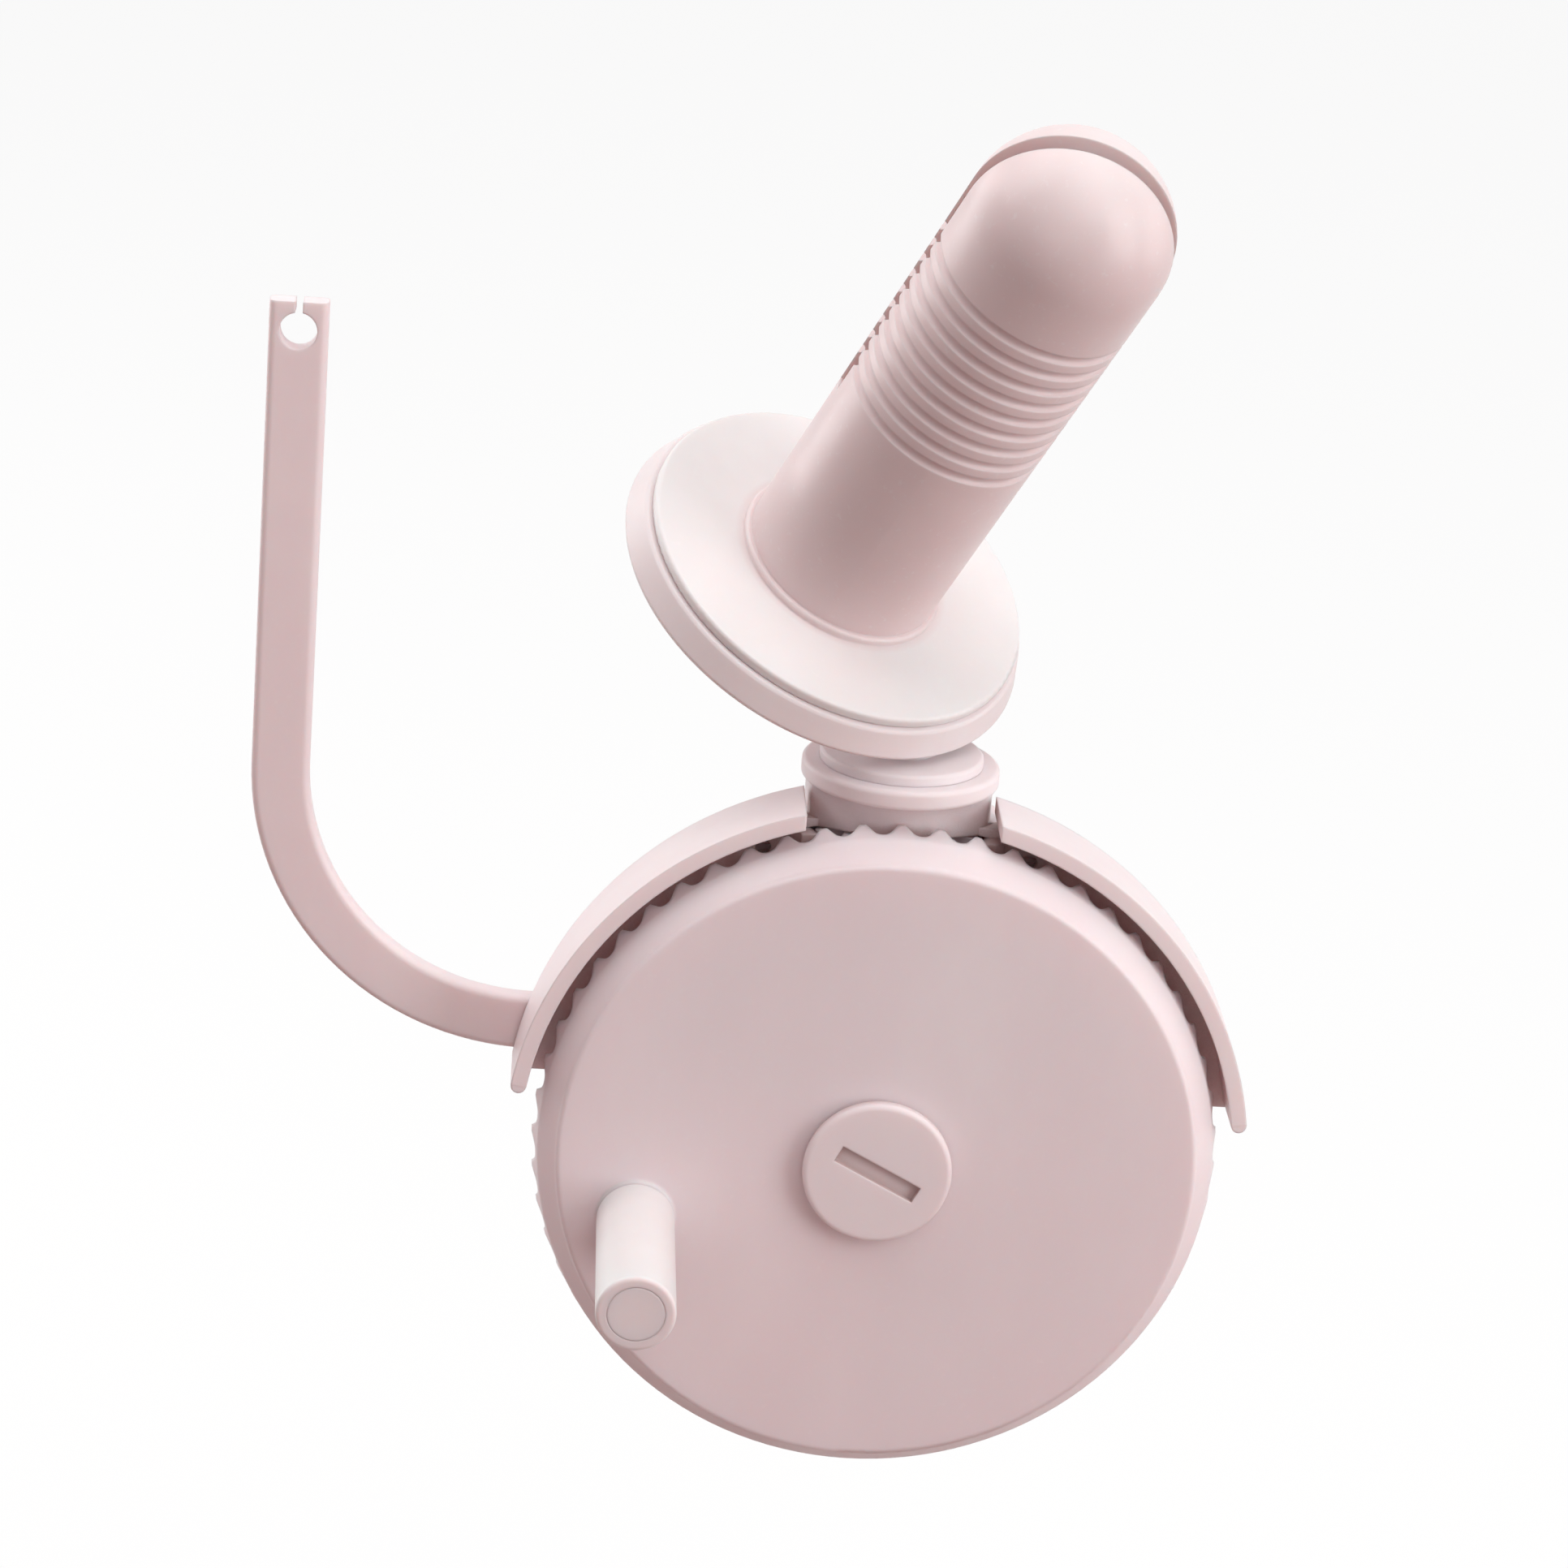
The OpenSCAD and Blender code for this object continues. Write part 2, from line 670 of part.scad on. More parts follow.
module clamp_bracket() {
  y0 = plate_back;
  y1 = spine_back;
  y2 = y1 + jaw_length;
  y3 = jaw_mid + press_r + 6;
  color(pink) wheel() difference() {
    translate([-bracket_width / 2, 0, 0]) rotate([90, 0, 90]) linear_extrude(bracket_width)
      polygon([[y0, low_bottom + 4], [y0 + 4, low_bottom], [y3 - 3, low_bottom], [y3, low_bottom + 3],
        [y3, low_top], [y1 + 3, low_top], [y1, low_top + 3], [y1, jaw_low], [y2, jaw_low],
        [y2, jaw_low + jaw_thick - 4], [y2 - 4, jaw_low + jaw_thick], [y0, jaw_low + jaw_thick]]);
    ybar(axle_r + 3.4, y0 - 1, y0 + 2.4);
    translate([0, jaw_mid, 0]) zbar(screw_r + 0.6, low_bottom - 1, low_top + 1);
    translate([0, jaw_mid, 0]) rotate([0, 0, 30]) translate([0, 0, nut_low])
      cylinder(r = nut_r, h = low_top - nut_low + 1, $fn = 6);
    bracket_bolts() ybar(1.6, y0 - 1, y1 + 1);
    for (x = [-1, 1]) translate([x * bracket_width / 4, 0, 0])
      block([-5, y1 + 6, jaw_low + 3], [5, y2 - 6, jaw_low + jaw_thick + 1]);
  }
}

module bracket_screws() {
  color(steel) wheel() bracket_bolts() difference() {
    union() {
      ybar(1.6, plate_front + 0.4, spine_back + eps);
      translate([0, spine_back, 0]) back() disc(3, 0, 2, 0.5);
    }
    translate([0, spine_back + 1.3, 0]) block([-4, 0, -0.4], [4, 2, 0.4]);
  }
}

module jaw_pad() {
  color(rubber) wheel() block([-bracket_width / 2 + 2, spine_back + 3, jaw_face],
    [bracket_width / 2 - 2, spine_back + jaw_length - 3, jaw_low]);
}

module clamp_nut() {
  color(steel) wheel() translate([0, jaw_mid, 0]) difference() {
    rotate([0, 0, 30]) translate([0, 0, nut_low]) cylinder(r = nut_r, h = low_top - nut_low, $fn = 6);
    zbar(screw_r + run, nut_low - 1, low_top + 1);
  }
}

module pressure_pad() {
  color(pink) wheel() translate([0, jaw_mid, 0]) difference() {
    disc(press_r, press_low, press_top, 0.8);
    zbar(screw_r - 2 + run, press_low - 1, neck_top + free);
  }
}

module clamp_screw() {
  color(steel) wheel() translate([0, jaw_mid, 0]) {
    zbar(screw_r, knob_low + 4, press_low - free);
    zbar(screw_r - 2, press_low - free - eps, neck_top);
  }
}

module clamp_knob() {
  color(pink) wheel() translate([0, jaw_mid, 0]) difference() {
    union() {
      disc(knob_r, knob_low, knob_top - 3, 1.2);
      zbar(screw_r + 3, knob_low + 2, knob_top);
    }
    zbar(screw_r, knob_low + 4, knob_top + 1);
    for (i = [0:7]) rotate([0, 0, i * 45]) translate([knob_r + 2, 0, 0]) zbar(3.6, knob_low - 1, knob_top);
  }
}

// the yarn guide

module guide_arm() {
  y = arm_y + arm_thick / 2;
  color(pink) wheel() difference() {
    union() {
      translate([-arm_reach, y, upright_base]) linear_extrude(arm_top - upright_base)
        section(arm_width, arm_thick, arm_round);
      translate([bend_x, y, upright_base]) back() rotate([0, 0, 90]) rotate_extrude(angle = 90)
        translate([arm_bend, 0]) section(arm_width, arm_thick, arm_round);
      translate([bend_x, y, pivot_height]) rotate([0, 90, 0]) linear_extrude(-bend_x - pivot_reach)
        section(arm_width, arm_thick, arm_round);
      pivot_place() translate([0, arm_y, 0]) back() disc(pivot_r + 3.8, 0, arm_thick, arm_round);
    }
    translate([-arm_reach, 0, eye_z]) ybar(eye_r, arm_y - 1, arm_y + arm_thick + 1);
    translate([-arm_reach, 0, 0]) block([-thread_slit / 2, arm_y - 1, eye_z],
      [thread_slit / 2, arm_y + arm_thick + 1, arm_top + 1]);
    pivot_place() ybar(pivot_r + run, arm_y - 1, arm_y + arm_thick + 1);
  }
}

module arm_washer() {
  color(steel) wheel() pivot_place() difference() {
    ybar(pivot_r + 3.5, washer_y, washer_y + 1);
    ybar(pivot_r, washer_y - 1, washer_y + 2);
  }
}

module arm_screw() {
  color(steel) wheel() pivot_place() difference() {
    union() {
      ybar(2, plate_front, plate_back + eps);
      ybar(pivot_r, plate_back, washer_y + 1 + eps);
      translate([0, washer_y + 1, 0]) back() disc(pivot_r + 2.5, 0, 2.4, 0.6);
    }
    translate([0, washer_y + 2.6, 0]) block([-6, 0, -0.5], [6, 2, 0.5]);
  }
}

// the head that carries the spindle round the tower

module head_arm() {
  color(pink) difference() {
    union() {
      tower() zbar(pilot_r, pilot_low, pinion_low + eps);
      tower() zbar(stem_r, pinion_low, arm_foot + 1);
      intersection() {
        head() union() {
          block([0, -7, arm_low], [arm_end, 7, arm_face]);
          zbar(8.5, arm_low, arm_face);
          zbar(6, pin_low, arm_face);
        }
        tower() zbar(60, arm_foot, cross_height);
      }
    }
    tower() block([stem_r - 0.7, -5, pinion_low - 1], [stem_r + 2, 5, pinion_top]);
    tower() zbar(1.1, pilot_low - 1, pilot_low + 12);
    head() zbar(pin_r, pin_low - 1, arm_face + 1);
  }
}

arm_foot = sun_top_z + free;

module bevel_pinion() {
  color(pink) tower() difference() {
    union() {
      rotate_extrude() polygon([[0, pinion_low], [stem_r + 3.4, pinion_low],
        [pinion_root * gear_toe, pinion_back * gear_toe], [pinion_root * pinion_heel, pinion_top],
        [0, pinion_top]]);
      for (i = [0:pinion_teeth - 1]) rotate([0, 0, -90 + (i + 0.5) * 360 / pinion_teeth])
        tooth(cone_len, pinion_cone, pinion_heel, gear_toe,
          curved(pinion_pr / cos(pinion_cone), gear_module, gear_play, add, ded, rise));
    }
    difference() {
      zbar(stem_r, pinion_low - 1, pinion_top + 1);
      block([stem_r - 0.7, -5, pinion_low - 2], [stem_r + 2, 5, pinion_top + 2]);
    }
  }
}

module pinion_washer() {
  color(steel) tower() difference() {
    zbar(washer_r, pilot_low - 1, pilot_low);
    zbar(1.1, pilot_low - 2, pilot_low + 1);
  }
}

module pinion_screw() {
  color(steel) tower() difference() {
    union() {
      zbar(1.1, pilot_low - 1 - eps, pilot_low + 11);
      disc(2.6, pilot_low - 2.7, pilot_low - 1, 0.4);
    }
    block([-3, -0.35, pilot_low - 3], [3, 0.35, pilot_low - 2]);
  }
}

module spindle_axle() {
  color(steel) head() {
    zbar(pin_r, pin_low, pin_top);
    zbar(pin_r + 1.6, pin_low - 1.2, pin_low);
  }
}

module axle_retainer() {
  color(steel) head() difference() {
    zbar(pin_r + 2.6, sleeve_top + free, sleeve_top + free + 0.9);
    zbar(pin_r, sleeve_top, sleeve_top + 2);
  }
}

// the spindle and its dish

module spindle_post() {
  dome_z = dish_top + post_length;
  slit_z = dish_top + slit_floor;
  w = slit_width / 2 + post_wall - 0.6;
  color(pink) head() rotate([0, 0, slit_turn]) difference() {
    union() {
      disc(dish_face_r, plate_low, dish_top, 0.6);
      zbar(post_r, plate_low + 0.5, dome_z);
      translate([0, 0, dome_z]) sphere(r = post_r);
      disc(post_r + 0.9, plate_low + 0.5, dish_top + 1.3, 0.5);
    }
    difference() {
      union() {
        zbar(hollow_r, plate_low - 1, dome_z);
        translate([0, 0, dome_z]) sphere(r = hollow_r);
      }
      block([-w, -30, slit_z - 2], [w, 30, dome_z + 30]);
    }
    block([-slit_width / 2, -30, slit_z], [slit_width / 2, 30, dome_z + 30]);
    for (i = [0:1:groove_fit - 1]) rotate_extrude()
      translate([post_r + 0.15, dish_top + groove_start + i * groove_pitch]) circle(r = groove_r);
  }
}

module dish_ring() {
  color(pink) head() union() {
    rotate_extrude() polygon([[dish_root_r * plate_low / dish_root_z, plate_low],
      [dish_face_r + 0.6, plate_low],
      [dish_face_r + 1, plate_low - 0.4], [skirt_r, skirt_low + 0.8], [skirt_r - 0.3, skirt_low + 0.2],
      [skirt_r - 0.8, skirt_low], [dish_root_r + 0.5, skirt_low], [dish_root_r, dish_root_z]]);
    rotate([180, 0, 0]) for (i = [0:dish_teeth - 1]) rotate([0, 0, (i + 0.5) * 360 / dish_teeth])
      tooth(dish_len, dish_cone, 1, dish_toe,
        [for (s = rack(dish_module, dish_play, dish_add, dish_ded, 0.3)) [-s[0], -s[1]]]);
  }
}

module spindle_bush() {
  color(brass) head() difference() {
    union() {
      zbar(hollow_r, plug_low, plate_low + 2.5);
      zbar(pin_r + 2.6, plug_low, sleeve_top);
    }
    zbar(pin_r + run, plug_low - 1, sleeve_top + 1);
  }
}

body_housing();
rear_cover();
cover_screws();
tower_ring();
sun_gear();
sun_screws();
upper_bush();
lower_bush();
gear_axle();
centre_cap();
clamp_bracket();
bracket_screws();
jaw_pad();
clamp_nut();
arm_screw();
arm_washer();
drive_gear();
crank_stud();
handle_screw();
crank_handle();
handle_plug();
head_arm();
bevel_pinion();
pinion_washer();
pinion_screw();
spindle_axle();
axle_retainer();
spindle_post();
dish_ring();
spindle_bush();
guide_arm();
pressure_pad();
clamp_screw();
clamp_knob();
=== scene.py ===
import bpy
import bmesh
import json
import math
from mathutils import Matrix, Vector

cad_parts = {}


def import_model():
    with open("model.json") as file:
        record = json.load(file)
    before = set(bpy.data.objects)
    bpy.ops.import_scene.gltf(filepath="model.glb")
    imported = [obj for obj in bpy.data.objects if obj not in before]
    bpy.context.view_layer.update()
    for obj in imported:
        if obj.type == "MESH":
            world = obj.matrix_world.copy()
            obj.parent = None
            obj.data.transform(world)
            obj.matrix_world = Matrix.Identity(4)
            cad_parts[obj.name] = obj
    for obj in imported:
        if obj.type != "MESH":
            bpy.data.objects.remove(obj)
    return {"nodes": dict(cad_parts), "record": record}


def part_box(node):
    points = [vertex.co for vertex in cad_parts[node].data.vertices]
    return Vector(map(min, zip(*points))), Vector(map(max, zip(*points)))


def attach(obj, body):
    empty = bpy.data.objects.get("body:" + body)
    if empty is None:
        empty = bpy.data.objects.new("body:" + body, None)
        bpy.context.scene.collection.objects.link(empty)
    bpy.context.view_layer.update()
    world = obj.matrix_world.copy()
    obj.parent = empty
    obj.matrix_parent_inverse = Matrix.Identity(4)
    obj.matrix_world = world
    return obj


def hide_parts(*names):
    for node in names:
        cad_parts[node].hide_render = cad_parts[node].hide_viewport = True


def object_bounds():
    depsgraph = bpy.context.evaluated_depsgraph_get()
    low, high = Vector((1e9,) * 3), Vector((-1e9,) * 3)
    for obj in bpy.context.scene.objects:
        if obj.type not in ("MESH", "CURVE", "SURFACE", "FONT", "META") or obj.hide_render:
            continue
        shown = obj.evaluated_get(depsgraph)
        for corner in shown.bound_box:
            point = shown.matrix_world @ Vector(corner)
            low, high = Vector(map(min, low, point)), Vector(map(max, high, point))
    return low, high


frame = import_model()
cad_low, cad_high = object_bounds()
scene = bpy.context.scene
scene.view_settings.view_transform = "Standard"


# node helpers

def srgb(r, g, b):
    """A colour written in 0 to 255, as the linear colour that a shader takes."""
    def lin(v):
        v /= 255.0
        return v / 12.92 if v <= 0.04045 else ((v + 0.055) / 1.055) ** 2.4
    return (lin(r), lin(g), lin(b), 1.0)


class Tree:
    """Small wrapper round a material's node tree."""

    def __init__(self, name):
        self.mat = bpy.data.materials.new(name)
        self.mat.use_nodes = True
        self.nt = self.mat.node_tree
        self.nt.nodes.clear()
        self.out = self.nt.nodes.new("ShaderNodeOutputMaterial")
        self.coord = self.nt.nodes.new("ShaderNodeTexCoord").outputs["Object"]

    def node(self, kind, **values):
        n = self.nt.nodes.new(kind)
        for key, value in values.items():
            setattr(n, key, value)
        return n

    def link(self, a, b):
        self.nt.links.new(a, b)

    def noise(self, scale, detail=3.0, rough=0.55, stretch=None):
        n = self.node("ShaderNodeTexNoise")
        n.inputs["Scale"].default_value = scale
        n.inputs["Detail"].default_value = detail
        n.inputs["Roughness"].default_value = rough
        source = self.coord
        if stretch:
            m = self.node("ShaderNodeMapping")
            m.inputs["Scale"].default_value = stretch
            self.link(source, m.inputs["Vector"])
            source = m.outputs["Vector"]
        self.link(source, n.inputs["Vector"])
        return n.outputs["Fac"]

    def spread(self, source, low, high, at_low=0.0, at_high=1.0):
        """A value that runs from at_low to at_high while the source runs from low to high."""
        n = self.node("ShaderNodeMapRange")
        n.inputs["From Min"].default_value = low
        n.inputs["From Max"].default_value = high
        n.inputs["To Min"].default_value = at_low
        n.inputs["To Max"].default_value = at_high
        self.link(source, n.inputs["Value"])
        return n.outputs["Result"]

    def share(self, source, most):
        """A mask from 0 to 1, brought down so that it ends at most."""
        return self.spread(source, 0.0, 1.0, 0.0, most)

    def ramp(self, source, stops):
        n = self.node("ShaderNodeValToRGB")
        r = n.color_ramp
        while len(r.elements) < len(stops):
            r.elements.new(0.5)
        for e, (place, colour) in zip(r.elements, stops):
            e.position = place
            e.color = colour
        self.link(source, n.inputs["Fac"])
        return n.outputs["Color"]

    def mix(self, a, b, factor, mode="MIX"):
        """The colour sockets of the mix node are numbers 6 and 7, and its colour output is number 2."""
        n = self.node("ShaderNodeMix", data_type="RGBA", blend_type=mode)
        for value, slot in ((factor, 0), (a, 6), (b, 7)):
            if isinstance(value, (tuple, float)):
                n.inputs[slot].default_value = value
            else:
                self.link(value, n.inputs[slot])
        return n.outputs[2]

    def bump(self, height, strength, distance, normal):
        n = self.node("ShaderNodeBump")
        n.inputs["Strength"].default_value = strength
        n.inputs["Distance"].default_value = distance
        self.link(height, n.inputs["Height"])
        self.link(normal, n.inputs["Normal"])
        return n.outputs["Normal"]

    def edges(self, radius, samples=6, untouched=0.97, full=0.80):
        """Rounded edge normal, and a mask of how far it turns from the true one."""
        b = self.node("ShaderNodeBevel", samples=samples)
        b.inputs["Radius"].default_value = radius
        g = self.node("ShaderNodeNewGeometry")
        d = self.node("ShaderNodeVectorMath", operation="DOT_PRODUCT")
        self.link(b.outputs["Normal"], d.inputs[0])
        self.link(g.outputs["Normal"], d.inputs[1])
        return b.outputs["Normal"], self.spread(d.outputs["Value"], untouched, full)

    def recess(self, reach, shut, clear, samples=8):
        """1 deep in gaps and corners, 0 on open faces."""
        n = self.node("ShaderNodeAmbientOcclusion", samples=samples)
        n.inputs["Distance"].default_value = reach
        return self.spread(n.outputs["AO"], shut, clear, 1.0, 0.0)

    def along(self, axis):
        """How far the surface faces along an axis, by its own normal."""
        c = self.node("ShaderNodeTexCoord")
        d = self.node("ShaderNodeVectorMath", operation="DOT_PRODUCT")
        self.link(c.outputs["Normal"], d.inputs[0])
        d.inputs[1].default_value = axis
        return d.outputs["Value"]

    def off_axis(self, point, axis):
        """Distance of the surface from a line through point along axis."""
        d = self.node("ShaderNodeVectorMath", operation="SUBTRACT")
        self.link(self.coord, d.inputs[0])
        d.inputs[1].default_value = point
        c = self.node("ShaderNodeVectorMath", operation="CROSS_PRODUCT")
        self.link(d.outputs["Vector"], c.inputs[0])
        c.inputs[1].default_value = axis
        n = self.node("ShaderNodeVectorMath", operation="LENGTH")
        self.link(c.outputs["Vector"], n.inputs[0])
        return n.outputs["Value"]

    def principled(self):
        p = self.node("ShaderNodeBsdfPrincipled")
        self.link(p.outputs["BSDF"], self.out.inputs["Surface"])
        return p


# materials

usual_noise = (0.3, 0.7)
# painted shade: the brown that gaps and corners are multiplied by, where shade falls
gap_shade_tint = (0.40, 0.25, 0.21, 1.0)


def post_shade_colour(t, colour, tint, point, axis, radius):
    """Painted shade on a hollow post about its axis, a darker, redder tint: part of the tint near the axis,
    all at its wall, none past it.
    """
    inner = 0.3 * radius
    wall = 0.93 * radius
    past = 1.13 * radius
    inner_share = 0.55
    away = t.off_axis(point, axis)
    shaded = t.mix(colour, tint, t.spread(away, inner, wall, inner_share, 1.0), "MULTIPLY")
    return t.mix(shaded, colour, t.spread(away, radius, past))


def end_colour(t, colour, tint, axis, begins=0.35, full=0.9):
    """Give the faces that look along an axis a colour of their own."""
    return t.mix(colour, tint, t.spread(t.along(axis), begins, full))


def plastic(name, base, dark, light, gloss, grain, gap_shade=0.0, reach=0.012, shut=0.06, clear=0.34,
            wall=None, end=None, wear_and_highlight=0.45, round_off=0.0005, edge_highlight=None, coat=0.0):
    """Moulded plastic: faint flow mottle, fine texture, soft worn edges that can carry a painted highlight as
    well, and painted shade that deepens the colour in gaps.

    The painted shade browns gaps and corners, where shade falls, at a strength of its own, and reach, shut
    and clear say what counts as one.
    wall holds the values of the post's painted shade, and end those of end_colour."""
    t = Tree(name)
    p = t.principled()
    normal, edge = t.edges(round_off)
    flow = t.noise(scale=28.0, detail=4.0, rough=0.6, stretch=(1.0, 1.0, 0.45))
    colour = t.ramp(flow, [(0.3, dark), (0.5, base), (0.72, light)])
    # painted shade: the post's darker, redder tint for the shade on it
    if wall:
        colour = post_shade_colour(t, colour, **wall)
    if end:
        colour = end_colour(t, colour, **end)
    specks = t.noise(scale=900.0, detail=2.0)
    speck_share = 0.35
    colour = t.mix(colour, light, t.spread(specks, 0.62, 0.8, 0.0, speck_share))
    # lighter edges: wear, and on the gear a painted highlight in a brighter colour
    colour = t.mix(colour, edge_highlight or light, t.share(edge, wear_and_highlight))
    # painted shade: gaps and corners are browned by how shut in they are
    if gap_shade:
        shaded = t.mix(colour, gap_shade_tint, 1.0, "MULTIPLY")
        colour = t.mix(colour, shaded, t.share(t.recess(reach, shut, clear), gap_shade))
    t.link(colour, p.inputs["Base Color"])
    patches = t.noise(scale=140.0, detail=5.0, rough=0.65)
    t.link(t.spread(patches, *usual_noise, gloss - 0.06, gloss + 0.08), p.inputs["Roughness"])
    waves = t.noise(scale=60.0, detail=2.0)
    normal = t.bump(waves, strength=0.12, distance=0.0004, normal=normal)
    texture = t.noise(scale=4200.0, detail=3.0)
    normal = t.bump(texture, strength=grain, distance=0.00006, normal=normal)
    t.link(normal, p.inputs["Normal"])
    p.inputs["IOR"].default_value = 1.46
    p.inputs["Coat Weight"].default_value = coat
    p.inputs["Coat Roughness"].default_value = 0.22
    p.inputs["Subsurface Weight"].default_value = 0.30
    p.inputs["Subsurface Radius"].default_value = (1.0, 0.40, 0.32)
    p.inputs["Subsurface Scale"].default_value = 0.006
    return t.mat


def metal(name, base, light, gloss):
    """Zinc plated steel: turned lines, fine scratches, bright edges."""
    t = Tree(name)
    p = t.principled()
    normal, edge = t.edges(radius=0.00025)
    lines = t.noise(scale=120.0, detail=5.0, rough=0.7, stretch=(1.0, 1.0, 22.0))
    stain = t.noise(scale=180.0, detail=4.0, rough=0.6)
    stain_depth = 0.82
    edge_share = 0.8
    dark = tuple(stain_depth * v for v in base[:3]) + (1.0,)
    colour = t.ramp(stain, [(0.3, dark), (0.55, base), (0.8, light)])
    colour = t.mix(colour, light, t.share(edge, edge_share))
    t.link(colour, p.inputs["Base Color"])
    p.inputs["Metallic"].default_value = 1.0
    t.link(t.spread(lines, *usual_noise, gloss - 0.1, gloss + 0.12), p.inputs["Roughness"])
    t.link(t.bump(lines, strength=0.15, distance=0.00008, normal=normal), p.inputs["Normal"])
    return t.mat


def rubber(name, base, light):
    """Matt rubber with a pebbled skin."""
    t = Tree(name)
    p = t.principled()
    normal, edge = t.edges(radius=0.0004)
    cells = t.node("ShaderNodeTexVoronoi")
    cells.inputs["Scale"].default_value = 1100.0
    t.link(t.coord, cells.inputs["Vector"])
    edge_share = 0.5
    least_rough = 0.72
    most_rough = 0.88
    colour = t.ramp(t.noise(scale=160.0, detail=4.0), [(0.3, base), (0.75, light)])
    colour = t.mix(colour, light, t.share(edge, edge_share))
    t.link(colour, p.inputs["Base Color"])
    t.link(t.spread(t.noise(scale=400.0), *usual_noise, least_rough, most_rough), p.inputs["Roughness"])
    pebbles = cells.outputs["Distance"]
    t.link(t.bump(pebbles, strength=0.35, distance=0.0002, normal=normal), p.inputs["Normal"])
    return t.mat


pink_tones = {"base": srgb(242, 227, 229), "dark": srgb(240, 224, 226), "light": srgb(246, 234, 235)}
gear_tones = {"base": srgb(240, 226, 229), "dark": srgb(238, 223, 226), "light": srgb(244, 232, 234)}
# painted shade: the dish is a little darker than the pink, for the shade on its skirt
dish_shaded_tones = {"base": srgb(233, 221, 222), "dark": srgb(231, 218, 219), "light": srgb(238, 228, 229)}
# painted highlight: the grip is whiter than the pink, for the light on its top and sides
grip_lit_tones = {"base": srgb(232, 227, 227), "dark": srgb(230, 224, 224), "light": srgb(237, 232, 232)}
plug_tones = {"base": srgb(243, 226, 227), "dark": srgb(241, 223, 224), "light": srgb(246, 231, 232)}
post_tones = {"base": srgb(233, 228, 228), "dark": srgb(231, 225, 225), "light": srgb(238, 233, 233)}
acetal_tones = {"base": srgb(226, 220, 210), "dark": srgb(216, 209, 198), "light": srgb(238, 233, 225)}

spindle = next(j for j in frame["record"]["behaviour"]["joints"] if j["name"] == "spindle_spin")
# painted shade on the spindle post, fading out onto the plate round its foot, where shade falls
post_shade = {"tint": (0.95, 0.81, 0.815, 1.0), "point": spindle["pos_m"], "axis": spindle["axis"],
             "radius": 0.0170}
# the grip's end faces keep the plain pink, while its sides carry the whiter painted highlight
grip_end = {"tint": plug_tones["base"], "axis": (0.0, -1.0, 0.0)}

pink = plastic("pink_plastic_skin", **pink_tones, gloss=0.42, grain=0.10)
# painted highlight: the gear's teeth get broad, bright edges for the light on their crowns, on top of wear
pink_gear = plastic("pink_plastic_gear", **gear_tones, gloss=0.42, grain=0.10,
                    wear_and_highlight=0.9, round_off=0.0009, edge_highlight=srgb(252, 245, 245))
# painted shade: the housing is browned in its gaps, under the hood and about the tower, and the cap in its
# coin slot and round its foot
pink_shell = plastic("pink_plastic_shell", **pink_tones, gloss=0.42, grain=0.10, gap_shade=1.0)
pink_cap = plastic("pink_plastic_cap", **pink_tones, gloss=0.40, grain=0.08,
                   gap_shade=0.55, reach=0.0035, shut=0.55, clear=0.96)
pink_dish = plastic("pink_plastic_dish", **dish_shaded_tones, gloss=0.38, grain=0.06)
pink_grip = plastic("pink_plastic_grip", **grip_lit_tones, gloss=0.36, grain=0.06, wear_and_highlight=0.0, end=grip_end)
pink_plug = plastic("pink_plastic_plug", **plug_tones, gloss=0.42, grain=0.06, wear_and_highlight=0.0)
pink_post = plastic("pink_plastic_post", **post_tones, gloss=0.36, grain=0.06, wall=post_shade, coat=0.15)
acetal = plastic("bearing_plastic_skin", **acetal_tones, gloss=0.34, grain=0.05)
steel = metal("plated_steel", srgb(196, 197, 200), srgb(228, 229, 232), gloss=0.30)
grey_rubber = rubber("pad_rubber", srgb(96, 88, 88), srgb(128, 118, 117))

steel_nodes = {"cover_screws", "sun_screws", "gear_axle", "bracket_screws", "clamp_nut", "arm_screw",
               "arm_washer", "crank_stud", "handle_screw", "pinion_washer", "pinion_screw",
               "spindle_axle", "axle_retainer", "clamp_screw"}
acetal_nodes = {"upper_bush", "lower_bush", "spindle_bush"}
own_finish = {"drive_gear": pink_gear, "body_housing": pink_shell, "rear_cover": pink_shell,
              "dish_ring": pink_dish, "spindle_post": pink_post, "crank_handle": pink_grip,
              "handle_plug": pink_plug, "centre_cap": pink_cap, "jaw_pad": grey_rubber}


def finish_for(name):
    if name in steel_nodes:
        return steel
    if name in acetal_nodes:
        return acetal
    return own_finish.get(name, pink)


for name, obj in frame["nodes"].items():
    obj.data.materials.clear()
    obj.data.materials.append(finish_for(name))


# clamp screw with its thread, in place of the plain solid

